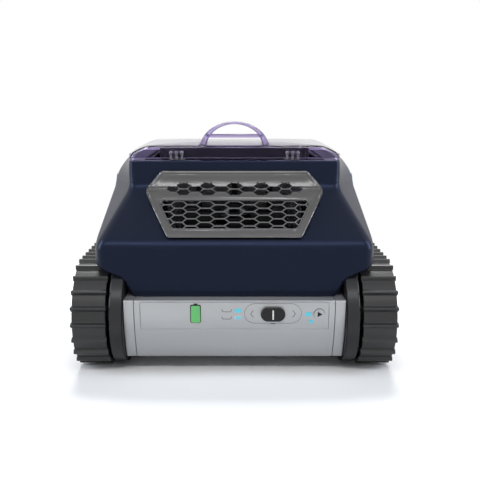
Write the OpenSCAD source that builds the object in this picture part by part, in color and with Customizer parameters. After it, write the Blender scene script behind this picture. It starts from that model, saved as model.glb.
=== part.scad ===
// Cordless robotic pool cleaner with two rubber tracks, a top-loading filter
// under a hinged clear lid, and a battery and control housing across the front.
// Origin: on the floor, midway between the tracks and midway between the axles.
// The control panel faces -Y.

/* [Running gear] */
// Distance between the front and rear wheel axles
wheel_base = 256; // [214:1:308]
// Height of a track over its rib tips
track_h = 143; // [128:1:172]
// Clear width between the two side frames
inner_w = 287; // [262:1:345]
// Thickness of a side frame, which is also the gear case
frame_t = 18; // [16:0.5:24]
// Height of the ribs over the belt
rib_h = 4.5; // [3:0.5:6]
// Width of a rib at its root
rib_root = 7.5; // [6:0.5:10]
// Width of a rib at its tip
rib_tip = 2.8; // [2:0.2:5]
// Thickness of the track belt
belt_t = 5; // [3:0.5:7]
// Width of the track belt
belt_w = 43; // [36:1:52]
// How far each rib overhangs the belt on either side
rib_over = 1.2; // [0.5:0.1:2]
// Ribs pitches along one straight run
run_ribs = 12; // [8:1:16]
// Rib pitches around one end
arc_ribs = 10; // [6:2:14]
// Radius of the wheel axles
axle_r = 5; // [4:0.5:7]
// Gap between a side frame and the track
track_gap = 3.1; // [2:0.1:6]

/* [Gears and brush] */
// Height of a track over the gear module
track_modules = 71.5; // [70:0.5:72]
// Teeth on a wheel gear
wheel_teeth = 40; // [36:2:44]
// Teeth on a motor pinion
pinion_teeth = 10; // [10:1:12]
// Teeth on the brush gear
brush_teeth = 14; // [12:1:16]
// Face width of the gears
gear_w = 8; // [6:0.5:9]
// Radius over the brush blades
brush_r = 23; // [19:0.5:24]
// Clearance of the brush over the floor
brush_clear = 2; // [1:0.5:4]
// Blades around the brush
brush_blades = 8; // [6:1:12]

/* [Battery housing] */
// Bottom of the housing over the floor
housing_z = 19.7; // [15:0.1:26]
// Height of the housing
housing_h = 82.9; // [78:0.1:90]
// Depth of the housing from front to back
housing_d = 94; // [90:1:100]
// Radius of the curved front
front_r = 145.5; // [120:0.5:180]
// Distance of the front from the foremost rib tip
housing_back = 10; // [8:0.5:14]
// Length of an end cap
cap_l = 13.8; // [10:0.2:20]
// Width of the control panel
panel_w = 242; // [220:1:250]
// Height of the control panel
panel_h = 37; // [34:0.5:42]
// Travel of the mode slider to each side
slider_travel = 8; // [5:0.5:10]
// Travel of the start button
button_travel = 1.5; // [1:0.1:2]
// Radius of the start button
button_r = 6.9; // [5.5:0.1:8]

/* [Upper shell] */
// Overhang of the shell over the outer face of a side frame
cheek_over = 20.7; // [16:0.1:26]
// Height of the upright skirt
skirt_h = 67.5; // [60:0.5:76]
// Height of the sloping front
slope_h = 67; // [60:0.5:74]
// Height of the upright box over the slope
box_h = 35.5; // [32:0.5:42]
// Distance of the skirt from the foremost rib tip
skirt_back = 28; // [24:0.5:34]
// Horizontal run of the sloping front
slope_run = 67; // [60:0.5:74]
// Horizontal run of the sloping back
back_run = 43.5; // [36:0.5:52]
// Half width of the box at its front corners
box_x = 140; // [130:0.5:150]
// Half width of the box at its sides
waist_x = 171; // [162:0.5:180]
// Wall of the shell
shell_wall = 3.5; // [2.5:0.1:4.5]
// Bezel plate thickness
bezel_t = 4; // [3:0.5:5]
// Middle pitch of the grille's columns
hex_pitch = 19.6; // [17:0.1:22]
// Pitch of the grille's rows along the slope
hex_row = 11.4; // [10:0.1:13]
// Width of the grille's bars
hex_bar = 1.7; // [1.2:0.1:2.4]

/* [Lid and handle] */
// Height of the lid over its lower edge
lid_h = 20.3; // [18:0.1:24.4]
// Wall of the clear lid
lid_wall = 2.5; // [2:0.1:3]
// Gap between shell and lid
lid_gap = 2.5; // [2.4:0.1:3]
// Half width of the handle arch
arch_x = 47; // [42:0.5:55]
// Height of the arch over the crown of the lid
arch_h = 30.2; // [26:0.1:36]
// Thickness of the arch at its top
arch_t = 3.2; // [2.6:0.1:5]
// Opening angle of the lid
lid_angle = 95; // [80:1:95]

/* [Filter and pump] */
// Half width of the filter basket
basket_x = 108; // [96:1:112]
// Length of the filter basket
basket_l = 130; // [115:1:136]
// Radius of the pump motor
pump_r = 23; // [20:0.5:25]
// Length of the pump motor
pump_l = 58; // [50:1:60]
// Radius of the impeller
impeller_r = 26; // [23:0.5:27]
// Blades on the impeller
impeller_blades = 5; // [3:1:7]
// Half width of the suction throat
throat_x = 50; // [40:1:54]
// Length of the suction throat
throat_l = 50; // [40:1:52]

/* [Fits] */
// Radial clearance of turning shafts
run_fit = 0.05; // [0.03:0.01:0.08]
// Gap between neighbouring pieces
seam = 0.4; // [0.3:0.05:0.6]
// Wall of covers and trays
wall = 3; // [2.5:0.1:3.5]

/* [Hidden] */
$fn = 64;

// running gear
tip_r = track_h / 2;
wheel_z = tip_r;
belt_r = tip_r - rib_h;
belt_in_r = belt_r - belt_t;
track_seat = 0.3;
wheel_r = belt_in_r - track_seat;
front_axle = -wheel_base / 2;
rear_axle = wheel_base / 2;
nose_y = front_axle - tip_r;
frame_in = inner_w / 2;
frame_out = frame_in + frame_t;
frame_r = tip_r - 3;
track_in = frame_out + track_gap + rib_over;
track_out = track_in + belt_w + rib_over;
wheel_in = track_in + 3;
wheel_out = track_out - 6;
cap_t = 3.2;
cover_t = 2.5;
bush_r = axle_r + 3;
hub_r = axle_r + 9;

// gears
gear_module = track_h / track_modules;
gear_x = frame_in + cover_t + 2;
pinion_y = rear_axle - (wheel_teeth + pinion_teeth) * gear_module / 2;
brush_z = brush_r + brush_clear;
brush_reach = (wheel_teeth + brush_teeth) * gear_module / 2;
brush_drop = wheel_z - brush_z;
brush_y = rear_axle - sqrt(brush_reach * brush_reach - brush_drop * brush_drop);
shaft_r = 3;
brush_shaft_r = 4;
motor_r = 18;
motor_in = frame_in - 83;
motor_out = frame_in - 21;

// battery housing
housing_y = nose_y + housing_back;
housing_rear = housing_y + housing_d;
housing_top = housing_z + housing_h;
housing_x = frame_in - 0.5;
arc_y = housing_y + front_r;
arc_z = housing_top - 7.6;
panel_top = housing_top - 2.2;
panel_z = panel_top - panel_h / 2;
panel_t = 1.5;
slider_x = 49.5;
slider_w = 31.5;
slider_h = 18.5;
stem_w = 12;
stem_h = 7;
button_x = 109;
control_z = panel_z + 3;
cell_r = 10.5;
cell_l = 70;
board_gap = 13;

// chassis
chassis_y0 = housing_rear + 0.5;
chassis_y1 = rear_axle + 37;
chassis_z = 14;
chassis_top = housing_top + 0.6;
recess_r = brush_r + 3;
throat_y0 = 12;
throat_wall = 2;
screw_r = 2;
screw_head_r = 4;
boss_h = 24;

// upper shell
shell_z = housing_top + 0.9;
crease_z = shell_z + skirt_h;
brow_z = crease_z + slope_h;
rim_z = brow_z + box_h;
skirt_x = frame_out + cheek_over;
skirt_y = nose_y + skirt_back;
box_y = skirt_y + slope_run;
box_back = -skirt_y - back_run;
rim_y = box_y + 5;
rim_x = box_x + 3;
rim_back = box_back - 5;
shoulder_x = waist_x - 19;
side_y0 = box_y + 69.5;
side_y1 = box_back - 58;
corner_r = 9;
arch_clear = 1;

// lid
lid_z = rim_z + lid_gap;
lid_brow = lid_z + lid_h - 3.3;
lid_top = lid_z + lid_h;
lid_drop = 4;
hinge_y = rim_y + 6;
hinge_z = lid_z + 7;
hinge_x = 79;
knuckle_r = 2.5;
pin_r = 1.1;
bar_w = 3;
bar_pitch = 7.5;
latch_x = 18;
latch_z = lid_z + 2.5;
latch_h = 6;
arch_y0 = rim_y + 14.5;
arch_y1 = arch_y0 + 44;
arch_top = lid_top + arch_h - 2;
deck_x = 118;
deck_y0 = rim_y + 19.5;
deck_y1 = rim_back - 8;

// filter and pump
basket_y0 = -18;
basket_y1 = basket_y0 + basket_l;
basket_z = chassis_top + 18.5;
basket_top = rim_z - 11.5;
pump_z = crease_z + 15;
impeller_y = rim_y - 13;
impeller_w = 14;
motor_y0 = impeller_y + impeller_w + 8;
flap_y = throat_y0 - 3;
flap_z = basket_z + wall + 3.6;

// plan outlines as eight corners: front half width, front, side half width,
// start and end of the side, rear half width, rear
function plan(a, f, s, y0, y1, b, r) =
    [[a, f], [s, y0], [s, y1], [b, r], [-b, r], [-s, y1], [-s, y0], [-a, f]];

// one rounded corner p of an outline, between its neighbours o and q
function unit(v) = v / norm(v);
function corner(o, p, q, r, n) =
    let (u = unit(o - p), v = unit(q - p))
    let (half = acos(u * v) / 2, t = r / tan(half), c = p + unit(u + v) * r / sin(half))
    let (a = p + u * t - c, turn = 180 - 2 * half)
    [for (i = [0:n]) let (g = turn * i / n)
        c + [a.x * cos(g) - a.y * sin(g), a.x * sin(g) + a.y * cos(g)]];
function rounded(pts, r, n) =
    let (k = len(pts))
    [for (i = [0:k - 1]) each corner(pts[(i + k - 1) % k], pts[i], pts[(i + 1) % k], r, n)];

// closed skin through a stack of rings of equal length
module loft(rings) {
    m = len(rings[0]);
    k = len(rings);
    points = [for (ring = rings) each ring];
    sides = [for (j = [0:k - 2], i = [0:m - 1]) let (a = j * m + i, b = j * m + (i + 1) % m)
        each [[a, b + m, b], [a, a + m, b + m]]];
    foot = [for (i = [0:m - 1]) i];
    head = [for (i = [m - 1:-1:0]) (k - 1) * m + i];
    polyhedron(points, concat(sides, [foot, head]));
}

module along_x(x0, x1) {
    translate([x0, 0, 0]) rotate([90, 0, 90]) linear_extrude(x1 - x0) children();
}
module along_y(y0, y1) {
    translate([0, y1, 0]) rotate([90, 0, 0]) linear_extrude(y1 - y0) children();
}
module block(x0, x1, y0, y1, z0, z1) {
    translate([x0, y0, z0]) cube([x1 - x0, y1 - y0, z1 - z0]);
}
module rod_x(r, x0, x1, y, z) {
    translate([x0, y, z]) rotate([0, 90, 0]) cylinder(r = r, h = x1 - x0);
}
module on_side(s) {
    mirror([s < 0 ? 1 : 0, 0, 0]) children();
}
module stadium(r) {
    translate([0, wheel_z]) {
        for (y = [front_axle, rear_axle]) translate([y, 0]) circle(r);
        translate([front_axle, -r]) square([wheel_base, 2 * r]);
    }
}
module pill(w, h) {
    for (s = [-1, 1]) translate([s * (w - h) / 2, 0]) circle(h / 2);
    square([w - h, h], center = true);
}
module round_rect(w, h, r) {
    polygon(rounded([[-w / 2, -h / 2], [w / 2, -h / 2], [w / 2, h / 2], [-w / 2, h / 2]], r, 5));
}
module gear_outline(teeth) {
    step = 360 / teeth;
    root = (teeth / 2 - 1.1) * gear_module;
    tip = (teeth / 2 + 0.7) * gear_module;
    root_part = 0.26;
    tip_part = 0.11;
    polygon([for (i = [0:teeth - 1]) each [
        for (k = [[-root_part, root], [-tip_part, tip], [tip_part, tip], [root_part, root]])
            k[1] * [cos((i + k[0]) * step), sin((i + k[0]) * step)]]]);
}
// turn that brings a gear of n teeth into mesh with the wheel gear in direction a
function mesh_turn(a, n) = a + 180 + a * wheel_teeth / n - 180 / n;

// ---- running gear ----
module rib(extra) {
    polygon([[-rib_root / 2, -extra], [rib_root / 2, -extra], [rib_tip / 2, rib_h], [-rib_tip / 2, rib_h]]);
}
module rib_ring() {
    sink = 0.8;
    pitch = wheel_base / run_ribs;
    for (i = [0:run_ribs], s = [0, 180])
        translate([front_axle + i * pitch, wheel_z]) rotate(s) translate([0, belt_r]) rib(sink);
    for (i = [1:arc_ribs - 1], s = [0, 180])
        translate([s == 0 ? front_axle : rear_axle, wheel_z])
            rotate(s + i * 180 / arc_ribs) translate([0, belt_r]) rib(sink);
}
module track(s) {
    color([0.22, 0.22, 0.23]) on_side(s) {
        along_x(track_in, track_in + belt_w) difference() {
            stadium(belt_r);
            stadium(belt_in_r);
        }
        along_x(track_in - rib_over, track_out) difference() {
            rib_ring();
            stadium(belt_r - 0.5);
        }
    }
}
module wheel(s, y, bore) {
    rim_t = 9;
    web_t = 7;
    holes = 6;
    hole_r = 9.5;
    mid = (wheel_in + wheel_out) / 2;
    color([0.13, 0.14, 0.16]) on_side(s) difference() {
        rod_x(wheel_r, wheel_in, wheel_out, y, wheel_z);
        for (x = [[wheel_in - 1, mid - web_t / 2], [mid + web_t / 2, wheel_out + 1]])
            difference() {
                rod_x(wheel_r - rim_t, x[0], x[1], y, wheel_z);
                rod_x(hub_r, wheel_in, wheel_out, y, wheel_z);
            }
        for (i = [0:holes - 1])
            translate([0, y, wheel_z]) rotate([i * 360 / holes, 0, 0])
                rod_x(hole_r, wheel_in, wheel_out, 0, (hub_r + wheel_r - rim_t) / 2);
        rod_x(bore, wheel_in - 1, wheel_out + 1, y, wheel_z);
    }
}
module hub_cap(s, y) {
    color([0.6, 0.62, 0.65]) on_side(s) {
        rod_x(hub_r, wheel_out + seam, wheel_out + cap_t, y, wheel_z);
        rod_x(hub_r - 4, wheel_out + cap_t, wheel_out + cap_t + 1, y, wheel_z);
    }
}
module drive_axle(s) {
    color("silver") on_side(s) rod_x(axle_r, frame_in + 0.5, wheel_out, rear_axle, wheel_z);
}
module idler_axle(s) {
    color("silver") on_side(s) rod_x(axle_r, frame_out - 11, wheel_out - 1, front_axle, wheel_z);
}
module side_frame(s) {
    outer_wall = frame_out - wall;
    color([0.14, 0.15, 0.17]) on_side(s) difference() {
        union() {
            along_x(frame_in, frame_out) difference() {
                stadium(frame_r);
                stadium(frame_r - wall);
            }
            along_x(outer_wall, frame_out) stadium(frame_r - 1);
            rod_x(axle_r + 5, frame_out - 11, frame_out - 1, front_axle, wheel_z);
            rod_x(brush_shaft_r + 3, gear_x + gear_w + 0.5, frame_out - 1, brush_y, brush_z);
        }
        rod_x(axle_r, frame_out - 12, frame_out + 1, front_axle, wheel_z);
        rod_x(bush_r, frame_out - 12, frame_out + 1, rear_axle, wheel_z);
        rod_x(brush_shaft_r + run_fit, frame_out - 8, outer_wall, brush_y, brush_z);
    }
}
module gear_cover(s) {
    color([0.2, 0.21, 0.23]) on_side(s) difference() {
        along_x(frame_in, frame_in + cover_t) stadium(frame_r - wall - seam);
        rod_x(bush_r, frame_in - 1, frame_in + wall, rear_axle, wheel_z);
        rod_x(shaft_r + seam, frame_in - 1, frame_in + wall, pinion_y, wheel_z);
        rod_x(brush_shaft_r + run_fit, frame_in - 1, frame_in + wall, brush_y, brush_z);
    }
}
module axle_bushes() {
    color("tan") for (s = [-1, 1]) on_side(s)
        for (x = [[frame_in, frame_in + cover_t], [frame_out - wall, frame_out]]) difference() {
            rod_x(bush_r, x[0], x[1], rear_axle, wheel_z);
            rod_x(axle_r + run_fit, x[0] - 1, x[1] + 1, rear_axle, wheel_z);
        }
}
module wheel_gear(s) {
    color("ivory") on_side(s) difference() {
        translate([0, rear_axle, wheel_z]) along_x(gear_x, gear_x + gear_w) gear_outline(wheel_teeth);
        rod_x(axle_r, gear_x - 1, gear_x + gear_w + 1, rear_axle, wheel_z);
    }
}
module motor_pinion(s) {
    grip = 8;
    color("lightgray") on_side(s) {
        translate([0, pinion_y, wheel_z]) along_x(gear_x, gear_x + gear_w)
            rotate(mesh_turn(180, pinion_teeth)) gear_outline(pinion_teeth);
        rod_x(shaft_r, motor_out - grip, gear_x + gear_w + 1, pinion_y, wheel_z);
    }
}
module drive_motor(s) {
    color("darkgray") on_side(s) difference() {
        union() {
            rod_x(motor_r, motor_in, motor_out, pinion_y, wheel_z);
            rod_x(motor_r / 2, motor_out, motor_out + 4, pinion_y, wheel_z);
        }
        rod_x(shaft_r + run_fit, motor_out - 9, motor_out + 5, pinion_y, wheel_z);
    }
}

// ---- brush ----
module brush_roller() {
    core_r = 11;
    half = frame_in - 6;
    blade_t = 2.4;
    color([0.25, 0.4, 0.62]) {
        rod_x(core_r, -half, half, brush_y, brush_z);
        rod_x(brush_shaft_r, -frame_out + wall + 1, frame_out - wall - 1, brush_y, brush_z);
        for (i = [0:brush_blades - 1])
            translate([0, brush_y, brush_z]) rotate([i * 360 / brush_blades, 0, 0])
                block(1 - half, half - 1, -blade_t / 2, blade_t / 2, core_r - 2, brush_r);
    }
}
module brush_gear() {
    lean = atan2(brush_z - wheel_z, brush_y - rear_axle);
    color("ivory") difference() {
        translate([0, brush_y, brush_z]) along_x(gear_x, gear_x + gear_w)
            rotate(mesh_turn(lean, brush_teeth)) gear_outline(brush_teeth);
        rod_x(brush_shaft_r, gear_x - 1, gear_x + gear_w + 1, brush_y, brush_z);
    }
}

// ---- chassis ----
module chassis_outline(inset) {
    heel = 26;
    polygon([
        [chassis_y0 + inset, chassis_z + inset], [chassis_y1 - heel - inset / 3, chassis_z + inset],
        [chassis_y1 - inset, chassis_z + heel + inset / 3], [chassis_y1 - inset, chassis_top + inset],
        [chassis_y0 + inset, chassis_top + inset]
    ]);
}
module screw_places() {
    for (x = [-frame_in + 26, frame_in - 26], y = [chassis_y0 + 16, throat_y0 + 30])
        translate([x, y, 0]) children();
}
module lower_chassis() {
    half = frame_in - 0.5;
    shaft_hole = motor_r / 2 + 1;
    color([0.16, 0.17, 0.2]) difference() {
        union() {
            difference() {
                along_x(-half, half) intersection() {
                    chassis_outline(0);
                    translate([chassis_y0, 0]) square([chassis_y1 - chassis_y0, chassis_top]);
                }
                along_x(-half + wall, half - wall) chassis_outline(wall);
            }
            along_x(-half, half) intersection() {
                translate([brush_y, brush_z]) circle(recess_r + wall);
                translate([brush_y - recess_r - wall, chassis_z])
                    square([2 * (recess_r + wall), recess_r + brush_z]);
            }
            block(-throat_x - throat_wall, throat_x + throat_wall, throat_y0 - throat_wall,
                throat_y0 + throat_l + throat_wall, chassis_z, basket_z - seam);
            screw_places() cylinder(r = 5, h = chassis_z + boss_h);
            for (s = [-1, 1]) on_side(s)
                block(motor_in + 4, motor_out - 4, pinion_y - 12, pinion_y + 12,
                    chassis_z + 1, wheel_z - 10);
        }
        along_x(-half - 1, half + 1) translate([brush_y, brush_z]) circle(recess_r);
        block(-half - 1, half + 1, brush_y - recess_r, brush_y + recess_r, 0, brush_z);
        block(-throat_x, throat_x, throat_y0, throat_y0 + throat_l, 0, basket_z);
        block(-half - 1, half + 1, chassis_y0 - 1, chassis_y1 + 1, -1, chassis_z);
        screw_places() {
            cylinder(r = screw_r, h = chassis_z + boss_h - 3);
            cylinder(r = screw_head_r + 0.3, h = chassis_z + 1.5);
        }
        for (s = [-1, 1]) on_side(s) {
            rod_x(motor_r + 0.3, motor_in - 1, motor_out + 4, pinion_y, wheel_z);
            rod_x(shaft_hole, half - wall - 1, half + 1, pinion_y, wheel_z);
        }
    }
}
module chassis_screws() {
    head_h = 1.4;
    color("silver") screw_places() {
        translate([0, 0, chassis_z + 1.5 - head_h]) cylinder(r = screw_head_r, h = head_h);
        translate([0, 0, chassis_z + 1.5]) cylinder(r = screw_r, h = boss_h - 6);
    }
}
module electronics_case() {
    half = 56;
    color([0.3, 0.32, 0.35]) difference() {
        block(-half, half, chassis_y0 + wall + seam, throat_y0 - throat_wall - seam,
            chassis_z + wall, chassis_top - 8);
        block(-half + wall, half - wall, chassis_y0 + 2 * wall + seam,
            throat_y0 - throat_wall - wall - seam, chassis_z + 2 * wall, chassis_top - 8 - wall);
    }
}

// ---- battery housing ----
module housing_outline(inset) {
    intersection() {
        translate([arc_y, arc_z]) circle(front_r - inset, $fn = 128);
        translate([housing_y + inset, housing_z + inset])
            square([housing_d - 2 * inset, housing_h - 2 * inset]);
    }
}
module front_band(depth, z0, z1) {
    intersection() {
        difference() {
            translate([arc_y, arc_z]) circle(front_r, $fn = 128);
            translate([arc_y, arc_z]) circle(front_r - depth, $fn = 128);
        }
        translate([housing_y - 1, z0]) square([30, z1 - z0]);
    }
}
module button_hole(r) {
    translate([button_x, housing_y - 1, control_z]) rotate([-90, 0, 0]) cylinder(r = r, h = 12);
}
module slider_slot(extra) {
    along_y(housing_y - 2, housing_y + 12) translate([slider_x, control_z])
        pill(stem_w + 2 * (slider_travel + extra), stem_h + 2 * extra);
}
module battery_housing() {
    half = housing_x - cap_l;
    color([0.72, 0.73, 0.74]) difference() {
        along_x(-half, half) housing_outline(0);
        along_x(-half + wall, half - wall) housing_outline(wall + panel_t);
        along_x(-panel_w / 2 - seam, panel_w / 2 + seam)
            front_band(panel_t, panel_top - panel_h - seam, panel_top + seam);
        slider_slot(0.5);
        button_hole(button_r + 0.3);
    }
}
module end_cap(s) {
    inner = housing_x - cap_l + seam;
    color([0.68, 0.69, 0.7]) on_side(s) difference() {
        along_x(inner, housing_x) housing_outline(0);
        along_x(inner - 1, housing_x - wall) housing_outline(wall);
    }
}
module indicator_shape() {
    translate([-50, control_z]) round_rect(12, 22.7, 2);
}
module light_shapes() {
    for (p = [[4.4, 4.6], [4.4, -5.3], [94.7, -0.5]])
        translate([p.x, control_z + p.y]) pill(8, 3);
    translate([98.5, control_z - 10.8]) circle(1.6);
}
module control_panel() {
    color([0.75, 0.76, 0.77]) difference() {
        along_x(-panel_w / 2, panel_w / 2) front_band(panel_t, panel_top - panel_h, panel_top);
        slider_slot(0.5);
        button_hole(button_r + 0.3);
        along_y(housing_y - 1, housing_y + 6) {
            indicator_shape();
            light_shapes();
        }
    }
}
module battery_cells() {
    step = 2 * cell_r + seam;
    y0 = housing_y + 38;
    z0 = housing_z + wall + panel_t + cell_r + 0.3;
    color([0.2, 0.45, 0.7]) for (i = [-1:1], j = [0:1], k = [0:1])
        rod_x(cell_r, i * (cell_l + seam) - cell_l / 2, i * (cell_l + seam) + cell_l / 2,
            y0 + j * step, z0 + k * step);
}
module control_board() {
    half = panel_w / 2 - 4;
    ceiling = housing_top - wall - panel_t;
    board_t = 1.6;
    color([0.1, 0.35, 0.2])
        block(-half, half, housing_y + board_gap, housing_y + board_gap + board_t,
            panel_top - panel_h - 4, ceiling - 0.3);
}
module battery_indicator() {
    proud = 0.8;
    color([0.4, 0.75, 0.4]) along_y(housing_y - proud, housing_y + panel_t - 0.1) indicator_shape();
}
module status_lights() {
    proud = 0.5;
    color([0.4, 0.8, 0.9]) along_y(housing_y - proud, housing_y + panel_t - 0.1) light_shapes();
}
module mode_slider() {
    proud = 4.6;
    color([0.08, 0.08, 0.09]) {
        along_y(housing_y - proud, housing_y - seam) translate([slider_x, control_z])
            pill(slider_w, slider_h);
        along_y(housing_y - 1, housing_y + 9) translate([slider_x, control_z]) pill(stem_w, stem_h);
        along_y(housing_y + 9, housing_y + 11) translate([slider_x, control_z])
            pill(stem_w + 6, stem_h + 6);
    }
}
module start_button() {
    proud = 1.8;
    color([0.8, 0.8, 0.8]) {
        translate([button_x, housing_y - proud, control_z]) rotate([-90, 0, 0])
            cylinder(r = button_r, h = proud + 8);
        translate([button_x, housing_y + 8, control_z]) rotate([-90, 0, 0])
            cylinder(r = button_r + 2, h = 2);
    }
}

// ---- upper shell ----
function ring(p, z, r) = [for (q = rounded(p, r, 4)) [q.x, q.y, z]];
function shell_rings(w, z0, z1) =
    let (skirt = plan(skirt_x - 6 - w, skirt_y + w, skirt_x - w, skirt_y + 11.5 + w,
        -skirt_y - 11.5 - w, skirt_x - 6 - w, -skirt_y - w))
    let (brow = plan(box_x - w, box_y + w, waist_x - w, side_y0, side_y1, box_x - w, box_back - w))
    let (side = plan(box_x + 1 - w, box_y + 2 + w, waist_x - 1 - w, side_y0, side_y1,
        box_x + 1 - w, box_back - 1 - w))
    let (shoulder = plan(box_x + 2.5 - w, box_y + 4 + w, waist_x - 9 - w, side_y0, side_y1,
        box_x + 2.5 - w, box_back - 3 - w))
    let (rim = plan(rim_x - w, rim_y + w, shoulder_x - w, side_y0, side_y1,
        rim_x - w, rim_back - w))
    [ring(skirt, z0, corner_r), ring(skirt, crease_z, corner_r), ring(brow, brow_z, corner_r),
        ring(side, brow_z + 10, corner_r), ring(shoulder, rim_z - 11.5, corner_r),
        ring(rim, z1, corner_r)];

// space that the side frames and tracks need below the shell
module wheel_arch(s) {
    on_side(s) {
        along_x(frame_in - 0.8, track_in - rib_over - arch_clear) stadium(frame_r + arch_clear);
        along_x(track_in - rib_over - arch_clear - 0.1, track_out + 30) stadium(tip_r + 2.5);
    }
}
module skirt_cut(s) {
    on_side(s) along_y(skirt_y - 20, -skirt_y + 20) polygon([
        [frame_in - 9.8, shell_z - 2], [frame_in - 9.8, shell_z + 0.1], [frame_in + 1.5, shell_z + 12.5],
        [frame_out + 2, shell_z + 30.5], [frame_out + 14.5, shell_z + 36.5],
        [frame_out + 20, shell_z + 42], [frame_out + 40, shell_z + 42], [frame_out + 40, shell_z - 2]
    ]);
}
module duct_window() {
    along_y(skirt_y - 10, rim_y + 20) polygon([
        [-84, crease_z + 17], [84, crease_z + 17], [104, brow_z - 15], [100, brow_z + 6],
        [-100, brow_z + 6], [-104, brow_z - 15]
    ]);
}
module upper_shell() {
    color([0.16, 0.18, 0.27]) difference() {
        loft(shell_rings(0, shell_z, rim_z));
        loft(shell_rings(shell_wall, shell_z - 1, rim_z - shell_wall));
        block(-deck_x, deck_x, deck_y0, deck_y1, rim_z - 10, rim_z + 1);
        duct_window();
        for (s = [-1, 1]) {
            wheel_arch(s);
            skirt_cut(s);
        }
    }
}
module side_panel(s) {
    lift = 0.3;
    insert_t = 2;
    low = crease_z + 44;
    high = brow_z + 10;
    low_x = waist_x + (skirt_x - waist_x) * (brow_z - low) / slope_h;
    face = [[low_x, low], [waist_x, brow_z], [waist_x - 1, high]];
    color([0.38, 0.55, 0.68]) on_side(s) intersection() {
        along_x(waist_x - 10, skirt_x + 10) polygon(rounded([
            [side_y0 + 4, low], [side_y1 - 4, low],
            [side_y1 - 12, high], [side_y0 + 12, high]], 5, 4));
        along_y(side_y0, side_y1) polygon([
            for (p = face) [p.x + lift, p.y], for (i = [2:-1:0]) [face[i].x + lift + insert_t, face[i].y]]);
    }
}

// bezel: a folded plate that follows the slope and the brow
module bezel_profile(lift, thick) {
    slant = 1.4142 * (lift + thick);
    under = 1.4142 * lift;
    bend = box_y - lift;
    polygon([
        [skirt_y + 4 - slant, crease_z + 4], [skirt_y + 4 - under, crease_z + 4],
        [box_y - under, brow_z], [rim_y - lift, rim_z], [rim_y - lift - thick, rim_z],
        [bend - thick - 0.6, brow_z + 2], [box_y - slant, brow_z - 1]
    ]);
}
module bezel_outline() {
    polygon(rounded([[-87, crease_z + 9], [87, crease_z + 9], [121, brow_z - 3],
        [98, brow_z + 22.5], [-98, brow_z + 22.5], [-121, brow_z - 3]], 9, 5));
}
module grille_outline(r) {
    polygon(rounded([[-82, crease_z + 18], [82, crease_z + 18],
        [103, brow_z - 15.4], [-103, brow_z - 15.4]], r, 4));
}
// column positions close up towards the sides
function column_x(i) = 134 * sin(i * hex_pitch / 134 * 57.3);
function column_w(i) = hex_pitch * cos(i * hex_pitch / 134 * 57.3);
module hex_hole(w, h, bar) {
    tip = w * 2 / 3 - bar * 0.75;
    flat = w / 3 - bar * 0.25;
    top = (h - bar) / 2;
    polygon([[-tip, 0], [-flat, -top], [flat, -top], [tip, 0], [flat, top], [-flat, top]]);
}
module vent_holes() {
    row = 7.8;
    close_up = 0.93;
    for (i = [-5:5], j = [0:1]) if (i % 2 == 0 || j == 0)
        translate([column_x(i) * close_up, brow_z - 5.7 + j * row + (i % 2 == 0 ? 0 : row / 2)])
            hex_hole(column_w(i) * close_up, row, hex_bar);
}
module outlet_bezel() {
    color([0.4, 0.4, 0.41]) intersection() {
        along_x(-130, 130) bezel_profile(0.3, bezel_t);
        along_y(skirt_y - 20, rim_y + 10) difference() {
            bezel_outline();
            grille_outline(5);
            vent_holes();
        }
    }
}
module outlet_grille() {
    rows = 6;
    step = hex_row * 0.7071;
    z0 = crease_z + 18;
    color([0.42, 0.42, 0.43]) intersection() {
        along_x(-130, 130) bezel_profile(0.5, 2);
        along_y(skirt_y - 20, rim_y + 10) difference() {
            intersection() {
                grille_outline(5);
                square([205, 2 * brow_z], center = true);
            }
            intersection() {
                union() for (i = [-6:6], j = [0:rows])
                    translate([column_x(i), z0 + j * step - (i % 2 == 0 ? step / 2 : 0)])
                        hex_hole(column_w(i), step, hex_bar * 0.8);
                offset(delta = -1.2) grille_outline(5);
            }
        }
    }
}

// ---- pump ----
module outlet_duct() {
    ring_r = impeller_r + 1;
    mouth_y = impeller_y - 4;
    color([0.1, 0.1, 0.12]) difference() {
        union() {
            along_y(mouth_y, impeller_y + impeller_w + 4)
                translate([0, pump_z]) circle(ring_r + wall);
            hull() {
                along_y(mouth_y, mouth_y + 1) translate([0, pump_z]) square([150, 44], center = true);
                along_x(-78, 78) polygon([[box_y - 46, pump_z - 10], [box_y - 44, pump_z - 10],
                    [mouth_y, pump_z + 20], [mouth_y - 2, pump_z + 20]]);
            }
        }
        along_y(mouth_y - 60, impeller_y + impeller_w + 5) translate([0, pump_z]) circle(ring_r);
        hull() {
            along_y(mouth_y - 3, mouth_y - 2) translate([0, pump_z])
                square([144, 38], center = true);
            along_x(-75, 75) polygon([[box_y - 49, pump_z - 12], [box_y - 46, pump_z - 8],
                [mouth_y - 3, pump_z + 24], [mouth_y - 8, pump_z + 24]]);
        }
    }
}
module impeller() {
    blade_t = 2;
    color([0.75, 0.75, 0.72]) {
        along_y(impeller_y, impeller_y + impeller_w) translate([0, pump_z]) circle(9);
        along_y(impeller_y + impeller_w, motor_y0 + 12) translate([0, pump_z]) circle(shaft_r);
        intersection() {
            along_y(impeller_y, impeller_y + impeller_w) translate([0, pump_z]) circle(impeller_r);
            union() for (i = [0:impeller_blades - 1])
                translate([0, impeller_y + impeller_w / 2, pump_z])
                    rotate([0, i * 360 / impeller_blades, 0]) rotate([0, 0, 40])
                        block(-blade_t / 2, blade_t / 2, -impeller_w, impeller_w, 7, impeller_r + 5);
        }
    }
}
module pump_motor() {
    color("dimgray") difference() {
        union() {
            along_y(motor_y0, motor_y0 + pump_l) translate([0, pump_z]) circle(pump_r);
            along_y(motor_y0 - 4, motor_y0) translate([0, pump_z]) circle(pump_r / 2);
        }
        along_y(motor_y0 - 5, motor_y0 + 13) translate([0, pump_z]) circle(shaft_r + run_fit);
    }
}
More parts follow.
